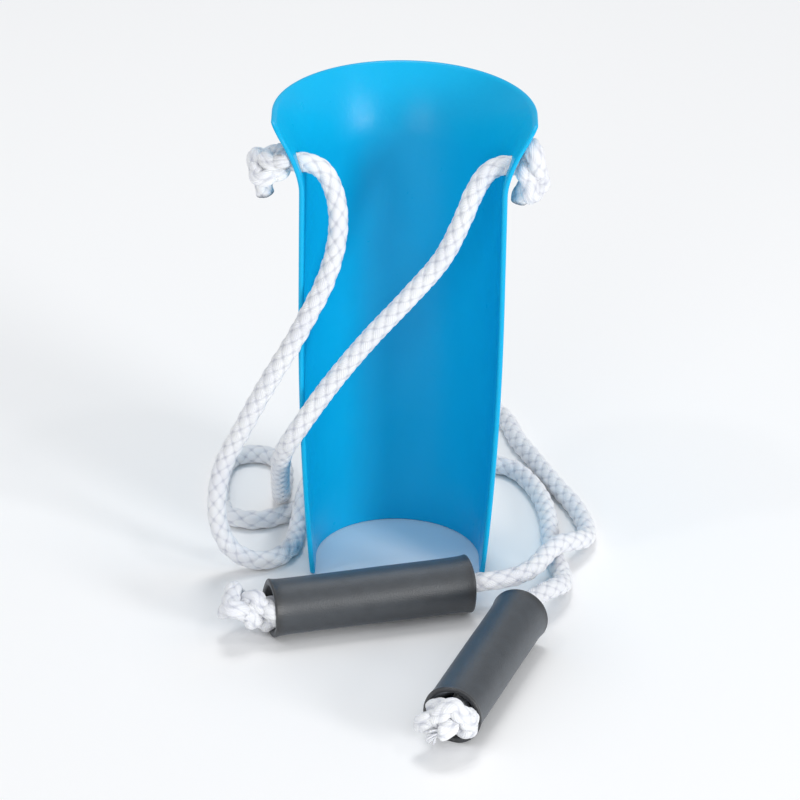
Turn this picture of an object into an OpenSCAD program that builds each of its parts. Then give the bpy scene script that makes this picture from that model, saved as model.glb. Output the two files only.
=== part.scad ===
// Sock aid: a molded trough that holds a sock open, standing on its toe end.
// A knotted cord leads through each side wall and ends in a foam hand grip.
// Everything is laid out from the trough's own axis and then moved back, so
// that the origin is on the toe edge, in the middle of the spine's wall.
// +X is right, +Y is the spine's side, +Z is up.

/* [Trough] */
// Height of the trough from toe edge to rim
trough_h = 240; // [200:1:290]
// Wall thickness of the molded plastic
wall = 2.5; // [2:0.1:4]
// Outer half width at the toe edge
toe_r = 42.5; // [35:0.5:46]
// Outer half width at the waist
waist_r = 49; // [48:0.5:60]
// Height over which the toe end widens to the waist
taper_h = 150; // [80:1:170]
// Straight run of each side wall in front of the round back
side_l = 19; // [15:0.5:30]
// Radius of the toe edge's front corners
toe_corner = 4; // [1:0.5:8]

/* [Funnel] */
// Outer half width at the rim
rim_r = 63; // [56:0.5:76]
// Height of the flared part
funnel_h = 34; // [24:1:44]
// Radius of the rim's front corners
rim_corner = 9; // [2:0.5:13]

/* [Cords] */
// Cord diameter
cord_d = 9; // [6:0.5:10]
// Gap around a cord in its hole through the side wall
hole_clear = 0.5; // [0.2:0.1:1.5]
// Height of the holes below the rim
hole_drop = 23; // [20:0.5:32]
// Distance of the holes behind the front edges
hole_setback = 11; // [8:0.5:14]

/* [Stop knots] */
// Half height of the left stop knot
left_knot_r = 10; // [8:0.5:12]
// Half height of the right stop knot
right_knot_r = 12; // [8:0.5:13]
// Half thickness of a stop knot along its cord
knot_t = 8; // [6:0.5:9]
// Length of cord tail from a stop knot's middle
tail_l = 19; // [15:0.5:28]
// Outward lean of the left tail
left_tail_lean = 20; // [0:1:35]
// Outward lean of the right tail
right_tail_lean = -4; // [-8:1:35]

/* [Grips] */
// Outer diameter of a foam grip
grip_d = 28; // [24:0.5:34]
// Length of a foam grip
grip_l = 99; // [90:1:108]
// Gap around a cord in its grip
bore_clear = 0.7; // [0.3:0.1:1.5]
// Depth of the hollow that an end knot has pressed into the foam
recess_h = 10; // [6:0.5:14]
// Gap between an end knot and that hollow
recess_clear = 0.6; // [0.3:0.1:1.2]
// Turn of the left grip from the X axis
left_yaw = 16; // [12:0.5:20]
// Turn of the right grip from the X axis
right_yaw = 70.5; // [66:0.5:75]

/* [End knots] */
// Radius of the left end knot
left_end_r = 12.5; // [10:0.5:13]
// Half length of the left end knot
left_end_t = 11; // [9:0.5:13]
// Radius of the right end knot
right_end_r = 13.5; // [10:0.5:13.5]
// Half length of the right end knot
right_end_t = 12; // [9:0.5:13]
// How far the middle of an end knot sits outside its grip
knot_out = 8; // [7:0.5:9]

/* [Hidden] */
$fn = 64;
cord_sides = 10;
waist_curve = 2.2;
funnel_curve = 1.6;
knot_curve = 0.8;
spine_y = toe_r - wall / 2;
hole_z = trough_h - hole_drop;
hole_y = hole_setback - side_l;
funnel_z = trough_h - funnel_h;
hole_r = cord_d / 2 + hole_clear;
bore_r = cord_d / 2 + bore_clear;
grip_z = grip_d / 2;
// A straight lead of cord keeps the way clear for a grip that slides along it.
lead_l = 15;
// The free cord ends this far inside its grip, where the knotted end takes over.
sleeve_l = 20;
joint_gap = 0.3;
// Outer ends of the grips, on the floor in front of the trough.
left_grip_at = [-60.5, -75.5];
right_grip_at = [26, -171];
// Gap between a stop knot and the wall that it bears on.
knot_gap = 0.1;
knot_z = hole_z - 1;
LEFT = -1;
RIGHT = 1;

// Outer half width of the trough at height z.
function taper(z) = 1 - pow(max(1 - z / taper_h, 0), waist_curve);
function flare(z) = pow(max(z - funnel_z, 0) / funnel_h, funnel_curve);
function half_width(z) = toe_r + (waist_r - toe_r) * taper(z) + (rim_r - waist_r) * flare(z);

// Heights at which the wall's outline has a point.
taper_steps = 8;
funnel_steps = 8;
heights = concat([for (i = [0 : taper_steps]) taper_h * i / taper_steps],
                 [for (i = [0 : funnel_steps]) funnel_z + funnel_h * i / funnel_steps]);

// A point on a grip's axis, s from the grip's outer end.
function along(at, yaw, s) = [at.x + s * cos(yaw), at.y + s * sin(yaw), grip_z];
function left_along(s) = along(left_grip_at, left_yaw, s);
function right_along(s) = along(right_grip_at, right_yaw, s);

// The way of a cord through its side wall, from inside its stop knot.
function through_wall(side) = [
    [side * (half_width(hole_z) + knot_t / 2), hole_y, hole_z],
    [side * (half_width(hole_z) - 6), hole_y, hole_z]];

// Left cord: down the trough, over the left front edge, back round behind the
// trough, then forward on the right and over the right cord to the left grip.
left_way = [
    [-38.5, -9, 214], [-33, -11.5, 205], [-30.5, -14, 191], [-32, -16.5, 175],
    [-37, -20, 159], [-44, -23.5, 145], [-51, -24.5, 131], [-62.5, -24, 109.5],
    [-75, -22, 83.5], [-85, -19, 60], [-88, -18, 42], [-87, -17, 26],
    [-81, -16, 13], [-71, -14, 6], [-61, -10, 4.5], [-53, 1, 4.5], [-50, 17, 4.5],
    [-48, 30, 10], [-46, 44, 14.5], [-42, 60, 13.5], [-37, 76, 7], [-31, 98, 4.5],
    [-18, 136, 4.5], [6, 168, 4.5], [36, 168, 4.5], [54, 144, 4.5], [61, 119, 4.5],
    [69, 98, 4.5], [80, 69, 4.5], [88, 50, 4.5], [93, 31, 4.5], [93, 14, 6],
    [87, 2, 10.5], [78, -9, 14.2], [72, -20, 14.5], [66, -32, 14.3], [58, -39.8, 14]];

// Right cord: across the trough and down outside its left wall, a loop on the
// floor, then behind the trough and forward on the right to the right grip.
right_way = [
    [39.5, -8.5, 213.5], [33.5, -10, 204], [28, -12, 190], [19, -14, 171], [3, -16.5, 151],
    [-15, -19, 130.5], [-33, -22, 107.5], [-51, -24.5, 80], [-56, -15, 66], [-58, 6, 46],
    [-58.5, 28, 25], [-58.5, 46, 10], [-58.5, 62, 4.5], [-58.5, 84, 4.5], [-62.9, 94.6, 4.5],
    [-73.5, 99, 4.5], [-84.1, 94.6, 4.5], [-88.5, 84, 4.5], [-88.5, 44, 4.5],
    [-84.1, 33.4, 4.5], [-73.5, 29, 4.5], [-62, 32, 4.5], [-51, 41, 4.5],
    [-40, 52, 4.5], [-20, 68, 4.5], [2, 81, 4.5], [26, 91, 4.5], [45, 93, 4.5],
    [58, 87, 4.5], [66, 74, 4.5], [72, 56, 4.5], [75, 35, 4.5], [75.5, 14, 4.5],
    [77, -4, 4.5], [80.5, -20, 4.5], [80.5, -34, 7], [76.5, -46, 11.5], [70.5, -55, 13.6]];

left_route = concat(through_wall(LEFT), left_way,
                    [left_along(grip_l + lead_l), left_along(grip_l - sleeve_l)]);
right_route = concat(through_wall(RIGHT), right_way,
                     [right_along(grip_l + lead_l), right_along(grip_l - sleeve_l)]);

// Everything below is drawn about the trough's axis and moved by this.
module placed() {
    translate([0, -spine_y, 0]) children();
}

// Half of the trough's wall, cut through its middle: half width against height.
module wall_outline() {
    outer = [for (z = heights) [half_width(z), z]];
    inner = [for (i = [len(heights) - 1 : -1 : 0]) [half_width(heights[i]) - wall, heights[i]]];
    polygon(concat(outer, inner));
}

// A bar along X that cuts a front corner of radius r at height z to a curve.
module corner_cut(r, z, up) {
    reach = 2 * rim_r + 2;
    translate([-reach / 2, -side_l, z])
        rotate([90, 0, 90])
            difference() {
                translate([-1, up > 0 ? -r : -1, 0]) cube([r + 1, r + 1, reach]);
                translate([r, -up * r, -1]) cylinder(r = r, h = reach + 2);
            }
}

module shell() {
    color("deepskyblue") placed()
        difference() {
            union() {
                rotate_extrude(angle = 180) wall_outline();
                rotate([90, 0, 0]) linear_extrude(side_l) wall_outline();
                mirror([1, 0, 0]) rotate([90, 0, 0]) linear_extrude(side_l) wall_outline();
            }
            corner_cut(rim_corner, trough_h, 1);
            corner_cut(toe_corner, 0, -1);
            translate([-rim_r, hole_y, hole_z])
                rotate([0, 90, 0]) cylinder(r = hole_r, h = 2 * rim_r);
        }
}

function unit(v) = v / norm(v);
function heading(p, i) = unit(p[min(i + 1, len(p) - 1)] - p[max(i - 1, 0)]);
function square_to(n, t) = unit(n - (n * t) * t);

// A tube of diameter d swept along the points p.
module cord(p, d) {
    last = len(p) - 1;
    sides = cord_sides;
    across = [for (i = 0, n = square_to([0, 0, 1], heading(p, 0)); i <= last;
                   i = i + 1, n = square_to(n, heading(p, min(i, last)))) n];
    rings = [for (i = [0 : last], k = [0 : sides - 1])
        p[i] + d / 2 * (cos(360 * k / sides) * across[i]
                        + sin(360 * k / sides) * cross(heading(p, i), across[i]))];
    quads = [for (i = [0 : last - 1], k = [0 : sides - 1])
        let (a = i * sides + k, b = i * sides + (k + 1) % sides) [a, a + sides, b + sides, b]];
    corners = concat([for (q = quads) [q[0], q[1], q[2]]], [for (q = quads) [q[0], q[2], q[3]]]);
    start_cap = [for (k = [0 : sides - 1]) k];
    end_cap = [for (k = [sides - 1 : -1 : 0]) last * sides + k];
    polyhedron(concat([for (v = rings) v]), concat(corners, [start_cap, end_cap]));
}

module left_cord() {
    color("white") placed() cord(left_route, cord_d);
}

module right_cord() {
    color("white") placed() cord(right_route, cord_d);
}

// A rounded knot about Z: radius r, half length t.
module knot(r, t) {
    rotate_extrude()
        polygon([for (a = [-90 : 15 : 90]) [r * pow(cos(a), knot_curve), t * sin(a)]]);
}

// How far out the middle of a stop knot stands, where its side meets the flared wall.
function stop_x(r) = knot_gap
    + max([for (a = [0 : 15 : 90]) half_width(knot_z + r * pow(cos(a), knot_curve))
                                   + knot_t * sin(a)]);

// A stop knot outside the side wall, with the cord's tail hanging from it.
module stop_knot(side, r, lean) {
    translate([side * stop_x(r), hole_y, knot_z]) {
        rotate([0, 90, 0]) knot(r, knot_t);
        rotate([0, 180 - side * lean, 0]) cylinder(d = cord_d, h = tail_l);
    }
}

module left_shell_knot() {
    color("white") placed() stop_knot(LEFT, left_knot_r, left_tail_lean);
}

module right_shell_knot() {
    color("white") placed() stop_knot(RIGHT, right_knot_r, right_tail_lean);
}

// Places a piece that is drawn along +X from a grip's outer end.
module on_grip(at, yaw) {
    placed() translate([at.x, at.y, grip_z]) rotate([0, 0, yaw]) children();
}

// The last stretch of cord, from inside the grip to the middle of the end knot.
module cord_end() {
    run = grip_l - sleeve_l - joint_gap + knot_out;
    translate([-knot_out, 0, 0]) rotate([0, 90, 0]) cylinder(d = cord_d, h = run);
}

module left_cord_end() {
    color("white") on_grip(left_grip_at, left_yaw) cord_end();
}

module right_cord_end() {
    color("white") on_grip(right_grip_at, right_yaw) cord_end();
}

module end_knot(r, t) {
    translate([-knot_out, 0, 0]) rotate([0, 90, 0]) knot(r, t);
}

module left_end_knot() {
    color("white") on_grip(left_grip_at, left_yaw) end_knot(left_end_r, left_end_t);
}

module right_end_knot() {
    color("white") on_grip(right_grip_at, right_yaw) end_knot(right_end_r, right_end_t);
}

// Radius of an end knot where the grip's outer end meets it.
function knot_mouth(r, t) = r * pow(sqrt(1 - pow(knot_out / t, 2)), knot_curve);

// A foam tube with a bore for the cord and a hollow for the end knot.
module foam_grip(mouth_r) {
    rotate([0, 90, 0])
        difference() {
            cylinder(d = grip_d, h = grip_l);
            translate([0, 0, -1]) cylinder(r = bore_r, h = grip_l + 2);
            translate([0, 0, -0.01])
                cylinder(r1 = mouth_r + recess_clear, r2 = bore_r, h = recess_h);
        }
}

module left_grip() {
    color("dimgray") on_grip(left_grip_at, left_yaw)
        foam_grip(knot_mouth(left_end_r, left_end_t));
}

module right_grip() {
    color("dimgray") on_grip(right_grip_at, right_yaw)
        foam_grip(knot_mouth(right_end_r, right_end_t));
}

shell();
left_cord();
right_cord();
left_shell_knot();
right_shell_knot();
left_cord_end();
right_cord_end();
left_end_knot();
right_end_knot();
left_grip();
right_grip();
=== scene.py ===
# Sock aid, put together piece by piece around its CAD frame: the cords and their
# knots, the molded trough, the foam grips, then the light it is seen in.
import math

import bmesh
import bpy
import numpy as np
from mathutils import Matrix, Vector


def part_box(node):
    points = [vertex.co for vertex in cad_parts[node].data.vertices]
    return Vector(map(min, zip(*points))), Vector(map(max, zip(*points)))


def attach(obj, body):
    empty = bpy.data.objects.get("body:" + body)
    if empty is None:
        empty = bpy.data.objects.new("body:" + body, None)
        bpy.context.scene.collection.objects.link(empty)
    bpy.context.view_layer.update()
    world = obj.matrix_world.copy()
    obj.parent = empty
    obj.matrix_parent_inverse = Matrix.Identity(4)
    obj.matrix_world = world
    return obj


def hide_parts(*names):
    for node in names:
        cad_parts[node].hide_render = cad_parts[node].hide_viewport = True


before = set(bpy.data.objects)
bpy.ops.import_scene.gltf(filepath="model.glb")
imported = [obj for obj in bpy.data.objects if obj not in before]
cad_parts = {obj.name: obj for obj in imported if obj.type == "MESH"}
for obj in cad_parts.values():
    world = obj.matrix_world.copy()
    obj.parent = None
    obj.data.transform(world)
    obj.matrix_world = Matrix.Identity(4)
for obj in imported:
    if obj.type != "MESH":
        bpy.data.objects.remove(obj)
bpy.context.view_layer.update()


# ---------------------------------------------------------------- camera
# The trough stands upright and is seen from its open side, from a little above.
# Its own axis is the line that everything else is laid out from.
SIDE_L = 0.019
trough_low, trough_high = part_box("shell")
TROUGH_H = trough_high[2] - trough_low[2]
AXIS_Y = trough_low[1] + SIDE_L
EYE_DISTANCE = 2.249
EYE_PITCH = math.radians(26.6)
ORBIT_HEIGHT = 0.12
LOOK_HEIGHT = 0.088
ROLL = math.radians(0.95)
LENS_MM = 210.4
FILM_MM = 36


def add_camera():
    eye = bpy.data.objects.new("camera", bpy.data.cameras.new("camera"))
    bpy.context.collection.objects.link(eye)
    back = EYE_DISTANCE * math.cos(EYE_PITCH)
    rise = EYE_DISTANCE * math.sin(EYE_PITCH)
    eye.location = (0, AXIS_Y - back, ORBIT_HEIGHT + rise)
    toward = Vector((0, AXIS_Y, LOOK_HEIGHT)) - eye.location
    turn = toward.to_track_quat("-Z", "Y").to_matrix() @ Matrix.Rotation(ROLL, 3, "Z")
    eye.rotation_euler = turn.to_euler()
    eye.data.lens = LENS_MM
    eye.data.sensor_width = FILM_MM
    eye.data.clip_start = 0.1
    eye.data.clip_end = 20
    bpy.context.scene.camera = eye


add_camera()
bpy.context.scene.view_settings.view_transform = "Standard"


# ---------------------------------------------------------------- cords
# Each cord is a soft white plaited rope, 9 mm thick. It leaves the trough through
# a hole in the side wall, hangs over the left front edge, lies on the floor round
# the back of the trough and goes into the inner end of its foam grip.
CORD_D = 0.009
HOLE_DROP = 0.023
HOLE_Y = -0.008
HOLE_Z = TROUGH_H - HOLE_DROP
HOLE_X = 0.05151
HOLE_LEAD = 0.0055
GRIP_L = 0.099
GRIP_Z = 0.014
LEAD_L = 0.015
SLEEVE_L = 0.02
LEFT_GRIP_AT, LEFT_YAW = Vector((-0.0605, -0.0755, GRIP_Z)), math.radians(16)
RIGHT_GRIP_AT, RIGHT_YAW = Vector((0.026, -0.171, GRIP_Z)), math.radians(70.5)
LEFT_WAY = [
    (-0.0385, -0.009, 0.214), (-0.033, -0.0115, 0.205), (-0.0305, -0.014, 0.191),
    (-0.032, -0.0165, 0.175), (-0.037, -0.02, 0.159), (-0.044, -0.0235, 0.145),
    (-0.051, -0.0245, 0.131), (-0.0625, -0.024, 0.1095), (-0.075, -0.022, 0.0835),
    (-0.085, -0.019, 0.06), (-0.088, -0.018, 0.042), (-0.087, -0.017, 0.026),
    (-0.081, -0.016, 0.013), (-0.071, -0.014, 0.006), (-0.061, -0.01, 0.0045),
    (-0.053, 0.001, 0.0045), (-0.05, 0.017, 0.0045), (-0.048, 0.03, 0.01),
    (-0.046, 0.044, 0.0145), (-0.042, 0.06, 0.0135), (-0.037, 0.076, 0.007),
    (-0.031, 0.098, 0.0045), (-0.018, 0.136, 0.0045), (0.006, 0.168, 0.0045),
    (0.036, 0.168, 0.0045), (0.054, 0.144, 0.0045), (0.061, 0.119, 0.0045),
    (0.069, 0.098, 0.0045), (0.08, 0.069, 0.0045), (0.088, 0.05, 0.0045),
    (0.093, 0.031, 0.0045), (0.093, 0.014, 0.006), (0.087, 0.002, 0.0105),
    (0.078, -0.009, 0.0142), (0.072, -0.02, 0.0145), (0.066, -0.032, 0.0143),
    (0.058, -0.0398, 0.014),
]
RIGHT_WAY = [
    (0.0395, -0.0085, 0.2135), (0.0335, -0.01, 0.204), (0.028, -0.012, 0.19),
    (0.019, -0.014, 0.171), (0.003, -0.0165, 0.151), (-0.015, -0.019, 0.1305),
    (-0.033, -0.022, 0.1075), (-0.051, -0.0245, 0.08), (-0.056, -0.015, 0.066),
    (-0.058, 0.006, 0.046), (-0.0585, 0.028, 0.025), (-0.0585, 0.046, 0.01),
    (-0.0585, 0.062, 0.0045), (-0.0585, 0.084, 0.0045), (-0.0629, 0.0946, 0.0045),
    (-0.0735, 0.099, 0.0045), (-0.0841, 0.0946, 0.0045), (-0.0885, 0.084, 0.0045),
    (-0.0885, 0.044, 0.0045), (-0.0841, 0.0334, 0.0045), (-0.0735, 0.029, 0.0045),
    (-0.062, 0.032, 0.0045), (-0.051, 0.041, 0.0045), (-0.04, 0.052, 0.0045),
    (-0.02, 0.068, 0.0045), (0.002, 0.081, 0.0045), (0.026, 0.091, 0.0045),
    (0.045, 0.093, 0.0045), (0.058, 0.087, 0.0045), (0.066, 0.074, 0.0045),
    (0.072, 0.056, 0.0045), (0.075, 0.035, 0.0045), (0.0755, 0.014, 0.0045),
    (0.077, -0.004, 0.0045), (0.0805, -0.02, 0.0045), (0.0805, -0.034, 0.007),
    (0.0765, -0.046, 0.0115), (0.0705, -0.055, 0.0136),
]
CARRIERS = 8
PLAIT_PITCH = 0.009
STRAND_SWELL = 0.0006
STRAND_WEAVE = 0.0006
STRAND_TOP = STRAND_WEAVE + STRAND_SWELL
STRAND_CROWN = 1.9
SUNK = 0.72
CORD_SIDES = 48
CORD_STEP = 0.00055
FLOOR_GAP = 0.0001


def on_axis(at, yaw, s):
    """A point on a grip's axis, s from its outer end, seen from the trough's axis."""
    return at + Vector((s * math.cos(yaw), s * math.sin(yaw), 0))


def in_frame(points):
    return np.array([tuple(p) for p in points]) + np.array((0, AXIS_Y, 0))


def smooth_line(points, step):
    """A centripetal spline through the points, cut into even steps."""
    p = np.array(points, float)
    p = np.vstack([2 * p[0] - p[1], p, 2 * p[-1] - p[-2]])
    fine = []
    for a, b, c, d in zip(p, p[1:], p[2:], p[3:]):
        spans = [np.linalg.norm(q - r) ** 0.5 for q, r in ((b, a), (c, b), (d, c))]
        t0, t1, t2, t3 = np.cumsum([0] + spans)
        t = np.linspace(t1, t2, 24, endpoint=False)[:, None]
        ab = (t1 - t) / (t1 - t0) * a + (t - t0) / (t1 - t0) * b
        bc = (t2 - t) / (t2 - t1) * b + (t - t1) / (t2 - t1) * c
        cd = (t3 - t) / (t3 - t2) * c + (t - t2) / (t3 - t2) * d
        abc = (t2 - t) / (t2 - t0) * ab + (t - t0) / (t2 - t0) * bc
        bcd = (t3 - t) / (t3 - t1) * bc + (t - t1) / (t3 - t1) * cd
        fine.append((t2 - t) / (t2 - t1) * abc + (t - t1) / (t2 - t1) * bcd)
    return even_steps(np.vstack(fine + [p[-2:-1]]), step)


def even_steps(line, step):
    gone = np.r_[0, np.cumsum(np.linalg.norm(np.diff(line, axis=0), axis=1))]
    at = np.linspace(0, gone[-1], max(int(round(gone[-1] / step)), 2) + 1)
    return np.stack([np.interp(at, gone, line[:, k]) for k in range(3)], axis=1)


def carried_sides(line):
    """Headings along a line, and two sides square to each that never twist."""
    heading = np.gradient(line, axis=0)
    heading /= np.linalg.norm(heading, axis=1)[:, None]
    side = np.zeros_like(line)
    start = np.array((0, 0, 1.0)) if abs(heading[0][2]) < 0.9 else np.array((0, 1.0, 0))
    for i, h in enumerate(heading):
        start = start - h * start.dot(h)
        start = start / np.linalg.norm(start)
        side[i] = start
    return heading, side, np.cross(heading, side)


def tube_faces(rings, sides):
    i, k = np.meshgrid(np.arange(rings - 1), np.arange(sides), indexing="ij")
    a = i * sides + k
    b = i * sides + (k + 1) % sides
    return np.stack([a, b, b + sides, a + sides], axis=-1).reshape(-1, 4)


def plait(s, turn, radius):
    """Height of a plait's surface, and where across its strand each point lies."""
    u = CARRIERS / 2 * turn + s / PLAIT_PITCH
    v = CARRIERS / 2 * turn - s / PLAIT_PITCH
    one, other = np.round(u), np.round(v)
    across_u, across_v = u - one, v - other
    round_u = np.sqrt(np.clip(1 - (STRAND_CROWN * across_u) ** 2, 0, 1))
    round_v = np.sqrt(np.clip(1 - (STRAND_CROWN * across_v) ** 2, 0, 1))
    up_u = STRAND_WEAVE * np.cos(math.pi * (v + one)) + STRAND_SWELL * round_u
    up_v = -STRAND_WEAVE * np.cos(math.pi * (u + other)) + STRAND_SWELL * round_v
    swell = radius / (CORD_D / 2)
    height = (np.maximum(up_u, up_v) - SUNK * STRAND_TOP) * swell
    across = np.where(up_u > up_v, across_u, across_v)
    return height, across


def plaited_tube(name, line, radius, seed, material, burnt=0):
    """A plaited cord along an even line, as one closed mesh.

    burnt is the length at the line's end that was melted shut when it was cut."""
    n, sides = len(line), CORD_SIDES
    heading, side, up = carried_sides(line)
    gone = np.r_[0, np.cumsum(np.linalg.norm(np.diff(line, axis=0), axis=1))]
    turn = np.arange(sides) / sides
    s, t = np.meshgrid(gone, turn, indexing="ij")
    rng = np.random.default_rng(seed)
    waves = sum(
        rng.uniform(0.2, 1) * np.sin(2 * math.pi * (s / rng.uniform(0.02, 0.07) + rng.uniform()
                                                    + rng.integers(0, 3) * t))
        for _ in range(5)
    )
    height, across = plait(s, t, radius)
    uneven, tip, cap = 0.006, 0.0016, 0.0006
    r = radius * (1 + uneven * waves) + height
    left = (gone[-1] - gone)[:, None]
    r = r * np.sqrt(1 - 0.75 * np.clip(1 - left / tip, 0, 1) ** 2)
    angle = 2 * math.pi * t
    ring = (side[:, None] * np.cos(angle)[..., None] + up[:, None] * np.sin(angle)[..., None])
    verts = (line[:, None] + ring * r[..., None]).reshape(-1, 3)
    verts = np.vstack([verts, line[0] - heading[0] * cap, line[-1] + heading[-1] * cap])
    verts[:, 2] = np.maximum(verts[:, 2], FLOOR_GAP)
    faces = tube_faces(n, sides).tolist()
    first, last = n * sides, n * sides + 1
    for k in range(sides):
        k2 = (k + 1) % sides
        faces.append([first, k2, k])
        faces.append([last, (n - 1) * sides + k, (n - 1) * sides + k2])
    mesh = bpy.data.meshes.new(name)
    mesh.from_pydata(verts.tolist(), [], faces)
    mesh.polygons.foreach_set("use_smooth", [True] * len(mesh.polygons))
    # raised is each point's height in the plait; the cord material paints shade on the low points,
    # in the grooves.
    raised = SUNK + np.append((height / STRAND_TOP).ravel(), [0, 0])
    mesh.attributes.new("raised", "FLOAT", "POINT").data.foreach_set("value", raised)
    laid = np.append(across.ravel(), [0, 0])
    mesh.attributes.new("across", "FLOAT", "POINT").data.foreach_set("value", laid)
    if burnt:
        scorch = np.clip(1.15 - left / burnt, 0, 1) * np.ones_like(r)
        scorch = np.append(scorch.ravel(), [0, 0.1])
        mesh.attributes.new("burnt", "FLOAT", "POINT").data.foreach_set("value", scorch)
    piece = bpy.data.objects.new(name, mesh)
    bpy.context.collection.objects.link(piece)
    mesh.materials.append(material)
    return piece


def new_material(name):
    material = bpy.data.materials.new(name)
    material.use_nodes = True
    nodes = material.node_tree.nodes
    return material, nodes, material.node_tree.links, nodes["Principled BSDF"]


def add_node(nodes, kind, **values):
    """A node with its plain properties and its inputs set by name."""
    node = nodes.new(kind)
    for key, value in values.items():
        key = key.replace("_", " ") if key[0].isupper() else key
        if key in node.inputs:
            node.inputs[key].default_value = value
        else:
            setattr(node, key, value)
    return node


def add_tones(nodes, low_at, low, high_at, high):
    """A ramp from one color to another."""
    ramp = add_node(nodes, "ShaderNodeValToRGB")
    for stop, at, color in zip(ramp.color_ramp.elements, (low_at, high_at), (low, high)):
        stop.position = at
        stop.color = (*color, 1)
    return ramp


def finish_skin(skin, **values):
    """Sets the shader's own sockets by name."""
    for key, value in values.items():
        skin.inputs[key.replace("_", " ")].default_value = value


def plaited_cotton():
    """Soft white yarn: fine threads along each strand, and painted shade down in the grooves of the
    plait.
    """
    material, nodes, links, skin = new_material("plaited_cord")
    raised = add_node(nodes, "ShaderNodeAttribute", attribute_name="raised")
    # Painted shade: the low parts of the plait, where the raised height is small, are painted grey
    # instead of white.
    ramp = add_tones(nodes, 0.0, (0.42, 0.44, 0.53), 0.7, (0.86, 0.87, 0.89))
    links.new(raised.outputs["Fac"], ramp.inputs["Fac"])
    coords = add_node(nodes, "ShaderNodeTexCoord")
    stain = add_node(nodes, "ShaderNodeTexNoise", Scale=45.0, Detail=3.0)
    links.new(coords.outputs["Object"], stain.inputs["Vector"])
    tint = add_node(nodes, "ShaderNodeMix", data_type="RGBA", blend_type="MULTIPLY")
    tint.inputs["Factor"].default_value = 0.35
    tone = add_tones(nodes, 0.35, (0.82, 0.83, 0.9), 0.6, (1, 1, 1))
    links.new(stain.outputs["Fac"], tone.inputs["Fac"])
    links.new(ramp.outputs["Color"], tint.inputs["A"])
    links.new(tone.outputs["Color"], tint.inputs["B"])
    burnt = add_node(nodes, "ShaderNodeAttribute", attribute_name="burnt")
    char = add_node(nodes, "ShaderNodeMix", data_type="RGBA")
    char.inputs["B"].default_value = (0.03, 0.05, 0.08, 1)
    links.new(burnt.outputs["Fac"], char.inputs["Factor"])
    links.new(tint.outputs["Result"], char.inputs["A"])
    links.new(char.outputs["Result"], skin.inputs["Base Color"])
    across = add_node(nodes, "ShaderNodeAttribute", attribute_name="across")
    threads_in_strand = 6
    count = add_node(nodes, "ShaderNodeMath", operation="MULTIPLY")
    count.inputs[1].default_value = 2 * math.pi * threads_in_strand
    threads = add_node(nodes, "ShaderNodeMath", operation="SINE")
    links.new(across.outputs["Fac"], count.inputs[0])
    links.new(count.outputs[0], threads.inputs[0])
    fuzz = add_node(nodes, "ShaderNodeTexNoise", Scale=2600.0, Detail=2.0)
    links.new(coords.outputs["Object"], fuzz.inputs["Vector"])
    rough = add_node(nodes, "ShaderNodeMath", operation="MULTIPLY_ADD")
    rough.inputs[1].default_value = 1.4
    links.new(fuzz.outputs["Fac"], rough.inputs[0])
    links.new(threads.outputs[0], rough.inputs[2])
    bump = add_node(nodes, "ShaderNodeBump", Strength=0.35, Distance=0.0004)
    links.new(rough.outputs[0], bump.inputs["Height"])
    links.new(bump.outputs["Normal"], skin.inputs["Normal"])
    finish_skin(skin, Roughness=0.82, Specular_IOR_Level=0.25, Sheen_Weight=0.25,
                Sheen_Roughness=0.5, Subsurface_Weight=0.12, Subsurface_Scale=0.3,
                Subsurface_Radius=(0.004, 0.004, 0.005))
    return material


CORD_LOOK = plaited_cotton()


def free_cord(name, side, way, at, yaw, seed):
    """The cord from inside its side wall to a little way inside its grip."""
    start = [(side * (HOLE_X - s), HOLE_Y, HOLE_Z) for s in (0, HOLE_LEAD)]
    end = [on_axis(at, yaw, GRIP_L + s) for s in (LEAD_L, 0.008, -0.006, -SLEEVE_L)]
    line = smooth_line(in_frame(start + way + end), CORD_STEP)
    piece = plaited_tube(name + "_rope", line, CORD_D / 2, seed, CORD_LOOK)
    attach(piece, "trough")
    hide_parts(name)
    return piece, line


left_rope, left_line = free_cord("left_cord", -1, LEFT_WAY, LEFT_GRIP_AT, LEFT_YAW, 11)
right_rope, right_line = free_cord("right_cord", 1, RIGHT_WAY, RIGHT_GRIP_AT, RIGHT_YAW, 12)


# ---------------------------------------------------------------- knots
# All four are plain overhand knots in the same cord: one outside each side wall,
# which stops the cord from pulling out, and one that fills the outer end of each
# grip. They are tied loose here, then drawn tight until the cord rests on itself.
KNOT_STEP = 0.002
PULL = 0.00007
STOP_ROPE_R = 0.0042
HAND_ROPE_R = 0.0043
WALL_GAP = 0.0001


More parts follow.
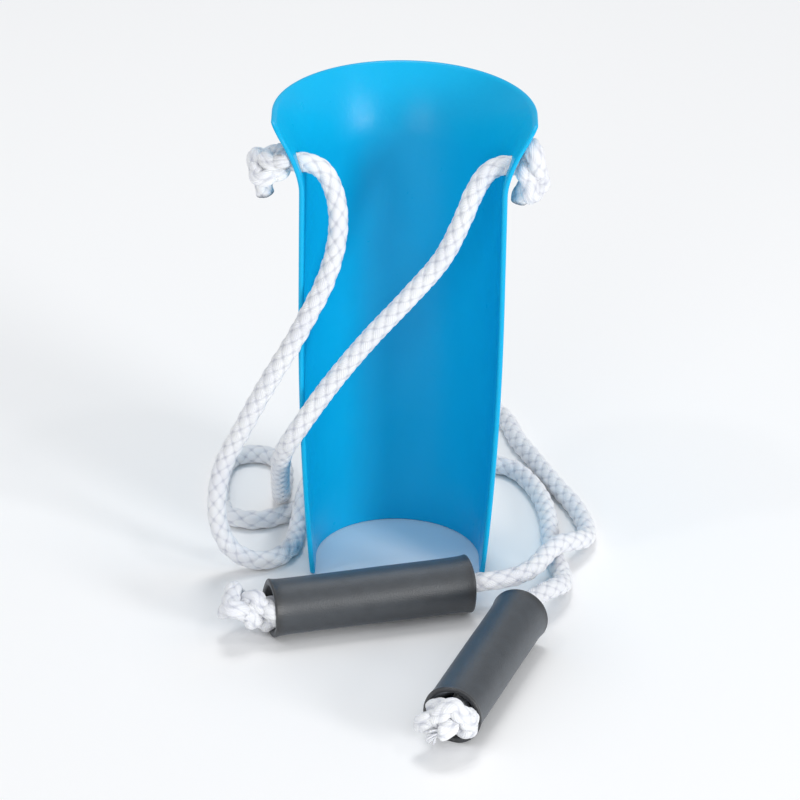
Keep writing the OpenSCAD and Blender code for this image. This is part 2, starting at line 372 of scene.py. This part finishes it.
def tied(thickness, start_size, rounds, squeeze, squeezes):
    """The middle line of an overhand knot, drawn tight and then jammed shorter.

    Gives the points, the first and last that touch, and the way the cord leaves."""
    t = np.linspace(-2.15, 2.15, 400)
    line = np.stack([0.0016 * (t ** 5 - 10 * t), 0.0075 * (t ** 3 - 3 * t),
                     0.0045 * (t ** 4 - 4 * t * t)], axis=1) * start_size
    p = even_steps(line, KNOT_STEP)
    order = np.arange(len(p))
    apart = np.abs(np.subtract.outer(order, order)) > 1.6 * thickness / KNOT_STEP
    axis = (p[0] - p[-1]) / np.linalg.norm(p[0] - p[-1])
    a, b = 0, len(p) - 1
    for turn in range(rounds + squeezes):
        # The two ends are pulled apart first, then the body is pressed together.
        if turn < rounds:
            p[0] += PULL * axis
            p[-1] -= PULL * axis
        else:
            body = slice(a, b + 1)
            p[body] -= squeeze * ((p[body] - p[body].mean(0)) @ axis)[:, None] * axis
        # The cord keeps its length,
        for _ in range(6):
            gap = np.diff(p, axis=0)
            fix = gap * (0.45 - 0.45 * KNOT_STEP / np.linalg.norm(gap, axis=1)[:, None])
            p[:-1] += fix
            p[1:] -= fix
        # bends no tighter than it can,
        span = p[2:] - p[:-2]
        long = np.linalg.norm(span, axis=1)[:, None]
        fix = np.where(long < 1.86 * KNOT_STEP, span * (0.4 - 0.744 * KNOT_STEP / long), 0)
        p[:-2] += fix
        p[2:] -= fix
        # and does not pass through itself.
        between = p[:, None] - p[None]
        dist = np.sqrt((between ** 2).sum(-1)) + 1e-9
        push = np.where(apart & (dist < thickness), 0.35 * (thickness - dist) / dist, 0)
        p += (push[..., None] * between).sum(1)
        touching = np.flatnonzero((apart & (dist < 1.12 * thickness)).any(1))
        a, b = touching[0], touching[-1]
    return p, a, b, axis


def knot_line(shape, middle, toward, lean, way_in, tail, tail_length, mirror=False):
    """A knot about middle. Its cord leaves toward the points of way_in, its body
    lies to the side that lean gives, and its cut end turns to head along tail."""
    p, a, b, axis = shape
    flip = np.array((1, 1, -1 if mirror else 1))
    p, axis = p * flip, axis * flip
    toward = Vector(toward).normalized()
    first = np.array(Vector(axis).rotation_difference(toward).to_matrix())
    body = (p[a + 1:b] - p[a + 1:b].mean(0)) @ first.T
    rolls = [np.array(Matrix.Rotation(math.radians(r), 3, toward)) for r in range(0, 360, 10)]
    best = max(rolls, key=lambda roll: -(roll @ body[0]) @ np.array(lean))
    body = body @ best.T + np.array(middle)
    last = body[-1] - body[-3]
    last /= np.linalg.norm(last)
    tail = np.array(tail, float) / np.linalg.norm(tail)
    cut_end = [body[-1]]
    for k in (1, 2, 3, 4):
        way = last * (1 - k / 4) + tail * k / 4
        cut_end.append(cut_end[-1] + way / np.linalg.norm(way) * tail_length / 4)
    return np.vstack([way_in, body[::2], cut_end[1:]])


HAND_KNOT = tied(0.0068, 1.0, 900, 0.005, 120)
BIG_HAND_KNOT = tied(0.0068, 1.0, 900, 0.005, 160)
STOP_KNOT = tied(0.0054, 0.8, 900, 0.005, 160)
SLIM_STOP_KNOT = tied(0.0052, 0.78, 900, 0.005, 60)


def frayed_yarns(at, heading, count, length, spread, seed):
    """Loose ends of yarn that splay from a cut end, as rings of points and faces."""
    rng = np.random.default_rng(seed)
    heading = heading / np.linalg.norm(heading)
    verts, faces = [], []
    sides, rings = 6, 7
    yarn_r, root_spread = 0.00042, 0.0011
    for _ in range(count):
        lean = rng.normal(0, 1, 3)
        lean -= heading * lean.dot(heading)
        curl = rng.normal(0, 0.25, 3)
        reach = length * rng.uniform(0.6, 1.1)
        t = np.linspace(0, 1, rings)[:, None]
        root = at + lean * root_spread
        line = root + reach * (t * heading + spread * t * (0.4 + t) * lean + t * t * curl)
        thick = yarn_r * np.linspace(1.2, 0.7, rings)
        _, side, up = carried_sides(line)
        turn = 2 * math.pi * np.arange(sides) / sides
        ring = (side[:, None] * np.cos(turn)[None, :, None]
                + up[:, None] * np.sin(turn)[None, :, None])
        start = len(verts)
        verts.extend((line[:, None] + ring * thick[:, None, None]).reshape(-1, 3).tolist())
        faces.extend((tube_faces(rings, sides) + start).tolist())
        faces.append([start + k for k in reversed(range(sides))])
        faces.append([start + (rings - 1) * sides + k for k in range(sides)])
    return verts, faces


def add_yarns(piece, at, heading, count, length, spread, seed):
    verts, faces = frayed_yarns(at, heading, count, length, spread, seed)
    tuft = bpy.data.meshes.new("tuft")
    tuft.from_pydata(verts, [], faces)
    # The loose yarns all get one middle height, so they take a middle share of the painted groove
    # shade.
    tuft.attributes.new("raised", "FLOAT", "POINT").data.foreach_set("value", [0.55] * len(verts))
    both = bmesh.new()
    both.from_mesh(piece.data)
    both.from_mesh(tuft)
    both.to_mesh(piece.data)
    both.free()
    piece.data.polygons.foreach_set("use_smooth", [True] * len(piece.data.polygons))


TOE_HALF, WAIST_HALF, RIM_HALF = 0.0425, 0.049, 0.063
TAPER_H, FUNNEL_H = 0.15, 0.034
TAPER_CURVE, FUNNEL_CURVE = 2.2, 1.6


def half_width(z):
    """Outer half width of the trough at height z."""
    taper = 1 - np.maximum(1 - z / TAPER_H, 0) ** TAPER_CURVE
    flare = (np.maximum(z - TROUGH_H + FUNNEL_H, 0) / FUNNEL_H) ** FUNNEL_CURVE
    return TOE_HALF + (WAIST_HALF - TOE_HALF) * taper + (RIM_HALF - WAIST_HALF) * flare


def stop_knot(name, node, side, shape, toward, middle, lean, tail, tail_length, seed, mirror):
    """A knot outside a side wall, moved out sideways where it would meet the wall."""
    hole = np.array((side * HOLE_X, HOLE_Y + AXIS_Y, HOLE_Z))
    way_in = [hole - (side * 0.004, 0, 0), hole + (side * 0.0005, 0, 0)]
    points = knot_line(shape, middle, toward, lean, way_in, tail, tail_length, mirror)
    clear = half_width(points[2:, 2]) + STOP_ROPE_R + WALL_GAP
    points[2:, 0] = side * np.maximum(side * points[2:, 0], clear)
    line = smooth_line(points, CORD_STEP)
    piece = plaited_tube(name, line, STOP_ROPE_R, seed, CORD_LOOK, burnt=0.0022)
    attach(piece, "trough")
    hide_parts(node)
    return piece


STOP_Y = HOLE_Y + AXIS_Y
left_stop = stop_knot("left_stop_knot", "left_shell_knot", -1, STOP_KNOT, (0.6, 0, 0.8),
                      (-0.0612, STOP_Y, HOLE_Z - 0.0005), (0, -1, 0.2),
                      (0.25, -0.1, -1), 0.016, 31, False)
right_stop = stop_knot("right_stop_knot", "right_shell_knot", 1, SLIM_STOP_KNOT, (0.2, 0, 1),
                       (0.0602, STOP_Y, HOLE_Z - 0.001), (0.2, -1, 0),
                       (-0.25, -0.1, -1), 0.014, 32, True)


def grip_axis(yaw):
    return np.array((math.cos(yaw), math.sin(yaw), 0))


def end_knot(side_name, at, yaw, shape, out, lean, tail, tail_length, seed, mirror):
    """The last of the cord in its grip, and the knot outside the grip's mouth."""
    axis = grip_axis(yaw)
    origin = np.array((at.x, at.y + AXIS_Y, GRIP_Z))
    s = np.arange(GRIP_L - SLEEVE_L - 0.0003, 0.012, -CORD_STEP)[:, None]
    rope_line = origin + axis * s
    rope = plaited_tube(side_name + "_grip_rope", rope_line, CORD_D / 2, seed, CORD_LOOK)
    way_in = [origin + axis * 0.02, origin + axis * 0.013]
    middle = origin - axis * out + (0, 0, 0.0015)
    points = knot_line(shape, middle, axis, lean, way_in, tail, tail_length, mirror)
    points[:, 2] = np.maximum(points[:, 2], HAND_ROPE_R + FLOOR_GAP)
    line = smooth_line(points, CORD_STEP)
    knot = plaited_tube(side_name + "_hand_knot", line, HAND_ROPE_R, seed + 1, CORD_LOOK)
    for piece, node in ((rope, side_name + "_cord_end"), (knot, side_name + "_end_knot")):
        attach(piece, side_name + "_end")
        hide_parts(node)
    return rope, rope_line, knot, line


left_inner, left_inner_line, left_hand_knot, _ = end_knot(
    "left", LEFT_GRIP_AT, LEFT_YAW, HAND_KNOT, 0.0088, (0, -1, 0.4), (0.3, -1, -0.4), 0.005,
    41, False)
right_inner, right_inner_line, right_hand_knot, right_knot_path = end_knot(
    "right", RIGHT_GRIP_AT, RIGHT_YAW, BIG_HAND_KNOT, 0.0055, (-1, 0.2, 0), (-1, 0, -0.1), 0.008,
    43, True)
add_yarns(right_hand_knot, right_knot_path[-1], right_knot_path[-1] - right_knot_path[-5],
          34, 0.005, 0.3, 5)


# ---------------------------------------------------------------- trough
# One piece of blue plastic, 2.5 mm thick, molded as an open gutter: narrow at
# the toe, parallel at the waist and flared at the rim, with rounded edges and
# one drilled hole through each side wall.
def operation(name):
    """A method of Sum that adds one math node and gives its result."""
    return lambda self, *others: self.math(name, *others)


class Sum:
    """Arithmetic on node sockets, written as on numbers."""

    def __init__(self, tree, socket):
        self.tree, self.socket = tree, socket

    def math(self, name, *others):
        node = self.tree.nodes.new("ShaderNodeMath")
        node.operation = name
        for put, value in zip(node.inputs, (self, *others)):
            if isinstance(value, Sum):
                self.tree.links.new(value.socket, put)
            else:
                put.default_value = value
        return Sum(self.tree, node.outputs[0])

    __add__ = operation("ADD")
    __sub__ = operation("SUBTRACT")
    __mul__ = operation("MULTIPLY")
    __truediv__ = operation("DIVIDE")
    __pow__ = operation("POWER")
    sin = operation("SINE")
    cos = operation("COSINE")
    root = operation("SQRT")
    least = operation("MINIMUM")
    most = operation("MAXIMUM")

    def __rsub__(self, number):
        return self * -1.0 + number

    def part(self):
        """Held between nothing and the whole."""
        return self.most(0.0).least(1.0)


TROUGH_SIZES = {
    "Height": TROUGH_H, "Wall": 0.0025, "Side Length": SIDE_L, "Axis Y": AXIS_Y,
    "Toe Half Width": TOE_HALF, "Waist Half Width": WAIST_HALF, "Rim Half Width": RIM_HALF,
    "Taper Height": TAPER_H, "Taper Curve": TAPER_CURVE,
    "Funnel Height": FUNNEL_H, "Funnel Curve": FUNNEL_CURVE,
    "Toe Corner": 0.004, "Rim Corner": 0.009,
    "Hole Radius": 0.005, "Hole Height": HOLE_Z, "Hole Back": HOLE_Y,
}
AROUND, UPWARD = 281, 171
EDGE_ROWS = 5
LEG_SHARE = 0.13
CROWDING = 0.88


def trough_tree():
    tree = bpy.data.node_groups.new("molded_trough", "GeometryNodeTree")
    tree.interface.new_socket("Geometry", in_out="OUTPUT", socket_type="NodeSocketGeometry")
    keys = {}
    for name in TROUGH_SIZES:
        socket = tree.interface.new_socket(name, in_out="INPUT", socket_type="NodeSocketFloat")
        keys[name] = socket.identifier
    socket = tree.interface.new_socket("Plastic", in_out="INPUT", socket_type="NodeSocketMaterial")
    keys["Plastic"] = socket.identifier
    given = tree.nodes.new("NodeGroupInput")
    size = {name: Sum(tree, given.outputs[name]) for name in TROUGH_SIZES}
    link = tree.links.new

    grid = tree.nodes.new("GeometryNodeMeshGrid")
    grid.inputs["Size X"].default_value = 1
    grid.inputs["Size Y"].default_value = 1
    grid.inputs["Vertices X"].default_value = AROUND
    grid.inputs["Vertices Y"].default_value = UPWARD
    spot = tree.nodes.new("GeometryNodeInputPosition")
    split = tree.nodes.new("ShaderNodeSeparateXYZ")
    link(spot.outputs[0], split.inputs[0])
    around = Sum(tree, split.outputs["X"]) + 0.5
    upward = (Sum(tree, split.outputs["Y"]) + 0.5).part()

    # Up the wall, with closer rows where the toe and the rim are rounded.
    end_rows = EDGE_ROWS / (UPWARD - 1)
    quarter = math.pi / 2
    low = (upward / end_rows).part() * quarter
    top = ((1.0 - upward) / end_rows).part() * quarter
    run = ((upward - end_rows) / (1 - 2 * end_rows)).part()
    run = run - (run * (2 * math.pi)).sin() * (CROWDING / (2 * math.pi))
    half_wall = size["Wall"] * 0.5
    z = half_wall * (1.0 - low.cos()) + run * (size["Height"] - size["Wall"]) + half_wall * top.cos()
    half_thick = half_wall * low.sin() * top.sin()

    # Once round the wall's section: out along the outer face, back on the inner.
    there = 1.0 - (around * 2.0 - 1.0).math("ABSOLUTE")
    outer = (0.5 - around).math("SIGN")
    edge = EDGE_ROWS / ((AROUND - 1) / 2)
    left = (there / edge).part() * quarter
    right = ((1.0 - there) / edge).part() * quarter
    mid = ((there - edge) / (1 - 2 * edge)).part()
    left_leg = (mid / LEG_SHARE).part()
    right_leg = ((mid - (1 - LEG_SHARE)) / LEG_SHARE).part()
    arc = ((mid - LEG_SHARE) / (1 - 2 * LEG_SHARE)).part()
    off = outer * half_thick * left.sin() * right.sin()

    # The outline of the mold.
    taper = 1.0 - (1.0 - z / size["Taper Height"]).most(0.0) ** size["Taper Curve"]
    flare = ((z - size["Height"] + size["Funnel Height"]).most(0.0)
             / size["Funnel Height"]) ** size["Funnel Curve"]
    outer_half = (size["Toe Half Width"]
                  + (size["Waist Half Width"] - size["Toe Half Width"]) * taper
                  + (size["Rim Half Width"] - size["Waist Half Width"]) * flare)
    middle = outer_half - half_wall
    into_rim = (z - size["Height"] + size["Rim Corner"]).most(0.0)
    into_toe = (size["Toe Corner"] - z).most(0.0)
    reach = (size["Side Length"]
             - size["Rim Corner"] + (size["Rim Corner"] ** 2.0 - into_rim ** 2.0).most(0.0).root()
             - size["Toe Corner"] + (size["Toe Corner"] ** 2.0 - into_toe ** 2.0).most(0.0).root())
    angle = (1.0 - arc) * math.pi
    straight = reach - half_thick
    x = (middle + off) * angle.cos()
    y = ((middle + off) * angle.sin() - straight * (1.0 - left_leg) - straight * right_leg
         - half_thick * left.cos() - half_thick * right.cos() + size["Axis Y"])

    place = tree.nodes.new("ShaderNodeCombineXYZ")
    for name, value in (("X", x), ("Y", y), ("Z", z)):
        link(value.socket, place.inputs[name])
    shape = tree.nodes.new("GeometryNodeSetPosition")
    link(grid.outputs["Mesh"], shape.inputs["Geometry"])
    link(place.outputs[0], shape.inputs["Position"])
    seal = tree.nodes.new("GeometryNodeMergeByDistance")
    seal.inputs["Distance"].default_value = 0.000002
    link(shape.outputs[0], seal.inputs["Geometry"])

    # The drill goes through both side walls at once.
    drill = tree.nodes.new("GeometryNodeMeshCylinder")
    drill.inputs["Vertices"].default_value = 64
    link(size["Hole Radius"].socket, drill.inputs["Radius"])
    link((size["Rim Half Width"] * 2.4).socket, drill.inputs["Depth"])
    lay = tree.nodes.new("GeometryNodeTransform")
    lay.inputs["Rotation"].default_value = (0, math.pi / 2, 0)
    at = tree.nodes.new("ShaderNodeCombineXYZ")
    link((size["Hole Back"] + size["Axis Y"]).socket, at.inputs["Y"])
    link(size["Hole Height"].socket, at.inputs["Z"])
    link(at.outputs[0], lay.inputs["Translation"])
    link(drill.outputs["Mesh"], lay.inputs["Geometry"])
    cut = tree.nodes.new("GeometryNodeMeshBoolean")
    cut.operation = "DIFFERENCE"
    link(seal.outputs[0], cut.inputs["Mesh 1"])
    link(lay.outputs[0], cut.inputs["Mesh 2"])
    smooth = tree.nodes.new("GeometryNodeSetShadeSmooth")
    link(cut.outputs["Mesh"], smooth.inputs["Geometry"])
    real = tree.nodes.new("GeometryNodeRealizeInstances")
    link(smooth.outputs[0], real.inputs[0])
    paint = tree.nodes.new("GeometryNodeSetMaterial")
    link(real.outputs[0], paint.inputs["Geometry"])
    link(given.outputs["Plastic"], paint.inputs["Material"])
    done = tree.nodes.new("NodeGroupOutput")
    link(paint.outputs[0], done.inputs[0])
    return tree, keys


def molded_plastic():
    """Semi-gloss azure plastic, a little uneven in depth, with a faint mold grain."""
    material, nodes, links, skin = new_material("azure_plastic")
    coords = add_node(nodes, "ShaderNodeTexCoord")
    cloud = add_node(nodes, "ShaderNodeTexNoise", Scale=14.0, Detail=4.0, Roughness=0.6)
    links.new(coords.outputs["Object"], cloud.inputs["Vector"])
    tone = add_tones(nodes, 0.3, (0.002, 0.41, 0.72), 0.7, (0.003, 0.445, 0.77))
    links.new(cloud.outputs["Fac"], tone.inputs["Fac"])
    links.new(tone.outputs["Color"], skin.inputs["Base Color"])
    wear = add_node(nodes, "ShaderNodeTexNoise", Scale=90.0, Detail=5.0, Roughness=0.7)
    links.new(coords.outputs["Object"], wear.inputs["Vector"])
    gloss = add_node(nodes, "ShaderNodeMapRange")
    gloss.inputs["From Min"].default_value = 0.3
    gloss.inputs["From Max"].default_value = 0.7
    gloss.inputs["To Min"].default_value = 0.27
    gloss.inputs["To Max"].default_value = 0.4
    links.new(wear.outputs["Fac"], gloss.inputs["Value"])
    links.new(gloss.outputs[0], skin.inputs["Roughness"])
    grain = add_node(nodes, "ShaderNodeTexNoise", Scale=420.0, Detail=3.0)
    links.new(coords.outputs["Object"], grain.inputs["Vector"])
    bump = add_node(nodes, "ShaderNodeBump", Strength=0.12, Distance=0.0006)
    links.new(grain.outputs["Fac"], bump.inputs["Height"])
    links.new(bump.outputs["Normal"], skin.inputs["Normal"])
    finish_skin(skin, Specular_IOR_Level=0.2, Subsurface_Weight=0.06, Subsurface_Scale=0.4,
                Subsurface_Radius=(0.001, 0.003, 0.006))
    return material


def settled(blank, name):
    """The evaluated shape of a blank as a plain mesh object, its modifiers gone."""
    shaped = blank.evaluated_get(bpy.context.evaluated_depsgraph_get())
    mesh = bpy.data.meshes.new_from_object(shaped)
    mesh.name = name
    bpy.data.objects.remove(blank)
    piece = bpy.data.objects.new(name, mesh)
    bpy.context.collection.objects.link(piece)
    return piece


def mold_trough():
    tree, keys = trough_tree()
    blank = bpy.data.objects.new("blank", bpy.data.meshes.new("blank"))
    bpy.context.collection.objects.link(blank)
    press = blank.modifiers.new("mold", "NODES")
    press.node_group = tree
    for name, value in TROUGH_SIZES.items():
        press[keys[name]] = value
    press[keys["Plastic"]] = molded_plastic()
    return settled(blank, "trough")


trough = mold_trough()
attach(trough, "trough")
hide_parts("shell")


# ---------------------------------------------------------------- grips
# Each grip is a tube of soft closed-cell foam, cut square at both ends and slid
# over the cord. Its cut ends stand a little proud, and the knot has pressed the
# outer one open into a funnel.
GRIP_R = 0.014
BORE_R = 0.0052
LIP_R = 0.0012
# The length of skin next to each end over which the painted shade fades out.
CUT_BAND = 0.005
FUNNEL_DEPTH = 0.013
FLARE = 0.0007
BELLY = 0.0005
GRIP_SIDES = 96


def foam():
    """Charcoal foam: fine closed cells, a dull skin, and painted shade on the cut ends and inside
    the bore.
    """
    material, nodes, links, skin = new_material("charcoal_foam")
    coords = add_node(nodes, "ShaderNodeTexCoord")
    cells = add_node(nodes, "ShaderNodeTexVoronoi", Scale=1500.0)
    mottle = add_node(nodes, "ShaderNodeTexNoise", Scale=160.0, Detail=4.0)
    links.new(coords.outputs["Object"], cells.inputs["Vector"])
    links.new(coords.outputs["Object"], mottle.inputs["Vector"])
    tone = add_tones(nodes, 0.25, (0.017, 0.022, 0.028), 0.75, (0.028, 0.036, 0.045))
    links.new(mottle.outputs["Fac"], tone.inputs["Fac"])
    # Painted shade: the cut ends, the bore and a short band of skin next to each end are mixed
    # toward near black.
    cut = add_node(nodes, "ShaderNodeAttribute", attribute_name="cut")
    shade = add_node(nodes, "ShaderNodeMix", data_type="RGBA")
    shade.inputs["B"].default_value = (0.004, 0.0045, 0.006, 1)
    links.new(cut.outputs["Fac"], shade.inputs["Factor"])
    links.new(tone.outputs["Color"], shade.inputs["A"])
    links.new(shade.outputs["Result"], skin.inputs["Base Color"])
    bump = add_node(nodes, "ShaderNodeBump", Strength=0.4, Distance=0.0002)
    links.new(cells.outputs["Distance"], bump.inputs["Height"])
    links.new(bump.outputs["Normal"], skin.inputs["Normal"])
    finish_skin(skin, Roughness=0.47, Specular_IOR_Level=1.0, Sheen_Weight=0.2,
                Sheen_Roughness=0.4, Sheen_Tint=(0.8, 0.88, 1, 1))
    return material


FOAM = foam()


def grip_profile(mouth):
    """The tube's outline once round: along the skin from the outer end to the inner,
    then back through the bore. Each point has its place along the axis, its radius
    and how much painted shade it gets, which is most on the cut ends and in the bore."""
    profile = []

    def corner(s, r, from_angle, to_angle, cut):
        for a in np.radians(np.linspace(from_angle, to_angle, 7)):
            profile.append((s + LIP_R * math.cos(a), r + LIP_R * math.sin(a), cut))

    def straight(s0, r0, s1, r1, steps, shade_from, shade_to):
        for k in np.linspace(0, 1, steps + 1)[1:-1]:
            profile.append((s0 + (s1 - s0) * k, r0 + (r1 - r0) * k, shade_from + (shade_to - shade_from) * k))

    inner, skin, inner_band = GRIP_L - LIP_R, GRIP_R - LIP_R, GRIP_L - CUT_BAND
    corner(LIP_R, skin, 180, 90, 0.85)
    straight(LIP_R, GRIP_R, CUT_BAND, GRIP_R, 8, 0.9, 0.0)
    straight(CUT_BAND, GRIP_R, inner_band, GRIP_R, 100, 0.0, 0.0)
    straight(inner_band, GRIP_R, inner, GRIP_R, 8, 0.0, 0.8)
    corner(inner, skin, 90, 0, 0.5)
    straight(GRIP_L, skin, GRIP_L, BORE_R + LIP_R, 6, 0.6, 0.8)
    corner(inner, BORE_R + LIP_R, 0, -90, 0.9)
    straight(inner, BORE_R, FUNNEL_DEPTH, BORE_R, 60, 1.0, 1.0)
    straight(FUNNEL_DEPTH, BORE_R, LIP_R, mouth, 10, 1.0, 1.0)
    corner(LIP_R, mouth + LIP_R, -90, -180, 0.9)
    straight(0, mouth + LIP_R, 0, skin, 3, 0.9, 0.7)
    return np.array(profile).T


def foam_dents(s, angle, rng):
    """Soft uneven waves over the foam, from -1 to 1."""
    dent = np.zeros((len(s), len(angle)))
    for _ in range(14):
        k = rng.integers(1, 5)
        dent += rng.uniform(0.3, 1) * np.sin(
            k * angle[None, :] + s[:, None] / rng.uniform(0.006, 0.03) + rng.uniform(0, 7))
    return dent / np.abs(dent).max()


def foam_grip(name, at, yaw, mouth, seed):
    """A foam tube round its grip's axis, with dented ends and a thinner middle."""
    s, r, cut = grip_profile(mouth)
    angle = 2 * math.pi * np.arange(GRIP_SIDES) / GRIP_SIDES
    dent = foam_dents(s, angle, np.random.default_rng(seed))
    to_inner = GRIP_L - s
    near_end = (np.exp(-s / 0.005) + 0.5 * np.exp(-to_inner / 0.004))[:, None]
    belly = BELLY * (1 - np.exp(-s / 0.004) - np.exp(-to_inner / 0.004))[:, None]
    flare = FLARE * (np.exp(-s / 0.002) + 0.6 * np.exp(-to_inner / 0.002))[:, None]
    skin_share = np.clip((r - BORE_R) / (GRIP_R - BORE_R), 0, 1)[:, None]
    rr = r[:, None] + (flare - belly - (0.0001 + 0.0003 * near_end) * dent) * skin_share
    ss = s[:, None] + 0.0007 * dent * near_end * skin_share
    axis = grip_axis(yaw)
    side = np.array((-axis[1], axis[0], 0))
    origin = np.array((at.x, at.y + AXIS_Y, GRIP_Z))
    verts = (origin + axis * ss[..., None]
             + side * (rr * np.cos(angle))[..., None]
             + np.array((0, 0, 1)) * (rr * np.sin(angle))[..., None])
    verts[..., 2] = np.maximum(verts[..., 2], FLOOR_GAP)
    last = (len(s) - 1) * GRIP_SIDES
    k = np.arange(GRIP_SIDES)
    k2 = (k + 1) % GRIP_SIDES
    seam = np.stack([last + k, last + k2, k2, k], axis=1)
    faces = np.vstack([tube_faces(len(s), GRIP_SIDES), seam])
    mesh = bpy.data.meshes.new(name)
    mesh.from_pydata(verts.reshape(-1, 3).tolist(), [], faces.tolist())
    # The cut attribute carries the painted shade for the foam material: near black on the cut ends
    # and in the bore.
    painted_shade_share = mesh.attributes.new("cut", "FLOAT", "POINT")
    painted_shade_share.data.foreach_set("value", np.repeat(cut, GRIP_SIDES))
    mesh.polygons.foreach_set("use_smooth", [True] * len(mesh.polygons))
    whole = bmesh.new()
    whole.from_mesh(mesh)
    bmesh.ops.recalc_face_normals(whole, faces=whole.faces)
    whole.to_mesh(mesh)
    whole.free()
    mesh.materials.append(FOAM)
    piece = bpy.data.objects.new(name, mesh)
    bpy.context.collection.objects.link(piece)
    return piece


left_foam = foam_grip("left_foam_grip", LEFT_GRIP_AT, LEFT_YAW, 0.0106, 61)
right_foam = foam_grip("right_foam_grip", RIGHT_GRIP_AT, RIGHT_YAW, 0.0112, 62)
for foam_piece, side_name in ((left_foam, "left"), (right_foam, "right")):
    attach(foam_piece, side_name + "_handle")
    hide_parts(side_name + "_grip")


# ---------------------------------------------------------------- light and floor
# A plain pale floor, lit by broad soft lights and a pale room. Two small lamps
# above the rim put the bright glints on the inside of the flare.
def add_floor():
    bpy.ops.mesh.primitive_plane_add(size=12, location=(0, 0, 0))
    floor = bpy.context.object
    floor.name = "floor"
    material, _, _, skin = new_material("pale_floor")
    finish_skin(skin, Base_Color=(0.97, 0.97, 0.97, 1), Roughness=0.9, Specular_IOR_Level=0.1)
    floor.data.materials.append(material)


def add_light(name, place, aim, size, power):
    lamp = bpy.data.lights.new(name, "AREA")
    lamp.shape = "DISK"
    lamp.size = size
    lamp.energy = power
    holder = bpy.data.objects.new(name, lamp)
    holder.location = place
    holder.rotation_euler = (Vector(aim) - Vector(place)).to_track_quat("-Z", "Y").to_euler()
    bpy.context.collection.objects.link(holder)


add_floor()
middle = (0, AXIS_Y, 0.1)
add_light("key", (2.0, -1.9, 0.8), middle, 0.8, 36)
add_light("fill", (-0.8, -2.6, 0.7), middle, 1.2, 14)
add_light("top", (0, 0.6, 2.0), middle, 0.8, 12)
for side in (-1, 1):
    add_light("glint", (side * 0.96, AXIS_Y - 0.58, 1.88), (0, AXIS_Y, 0.24), 0.15, 1.6)
world = bpy.data.worlds.new("room")
bpy.context.scene.world = world
world.use_nodes = True
room_light = world.node_tree.nodes["Background"].inputs
room_light["Color"].default_value = (0.95, 0.97, 1, 1)
room_light["Strength"].default_value = 0.54
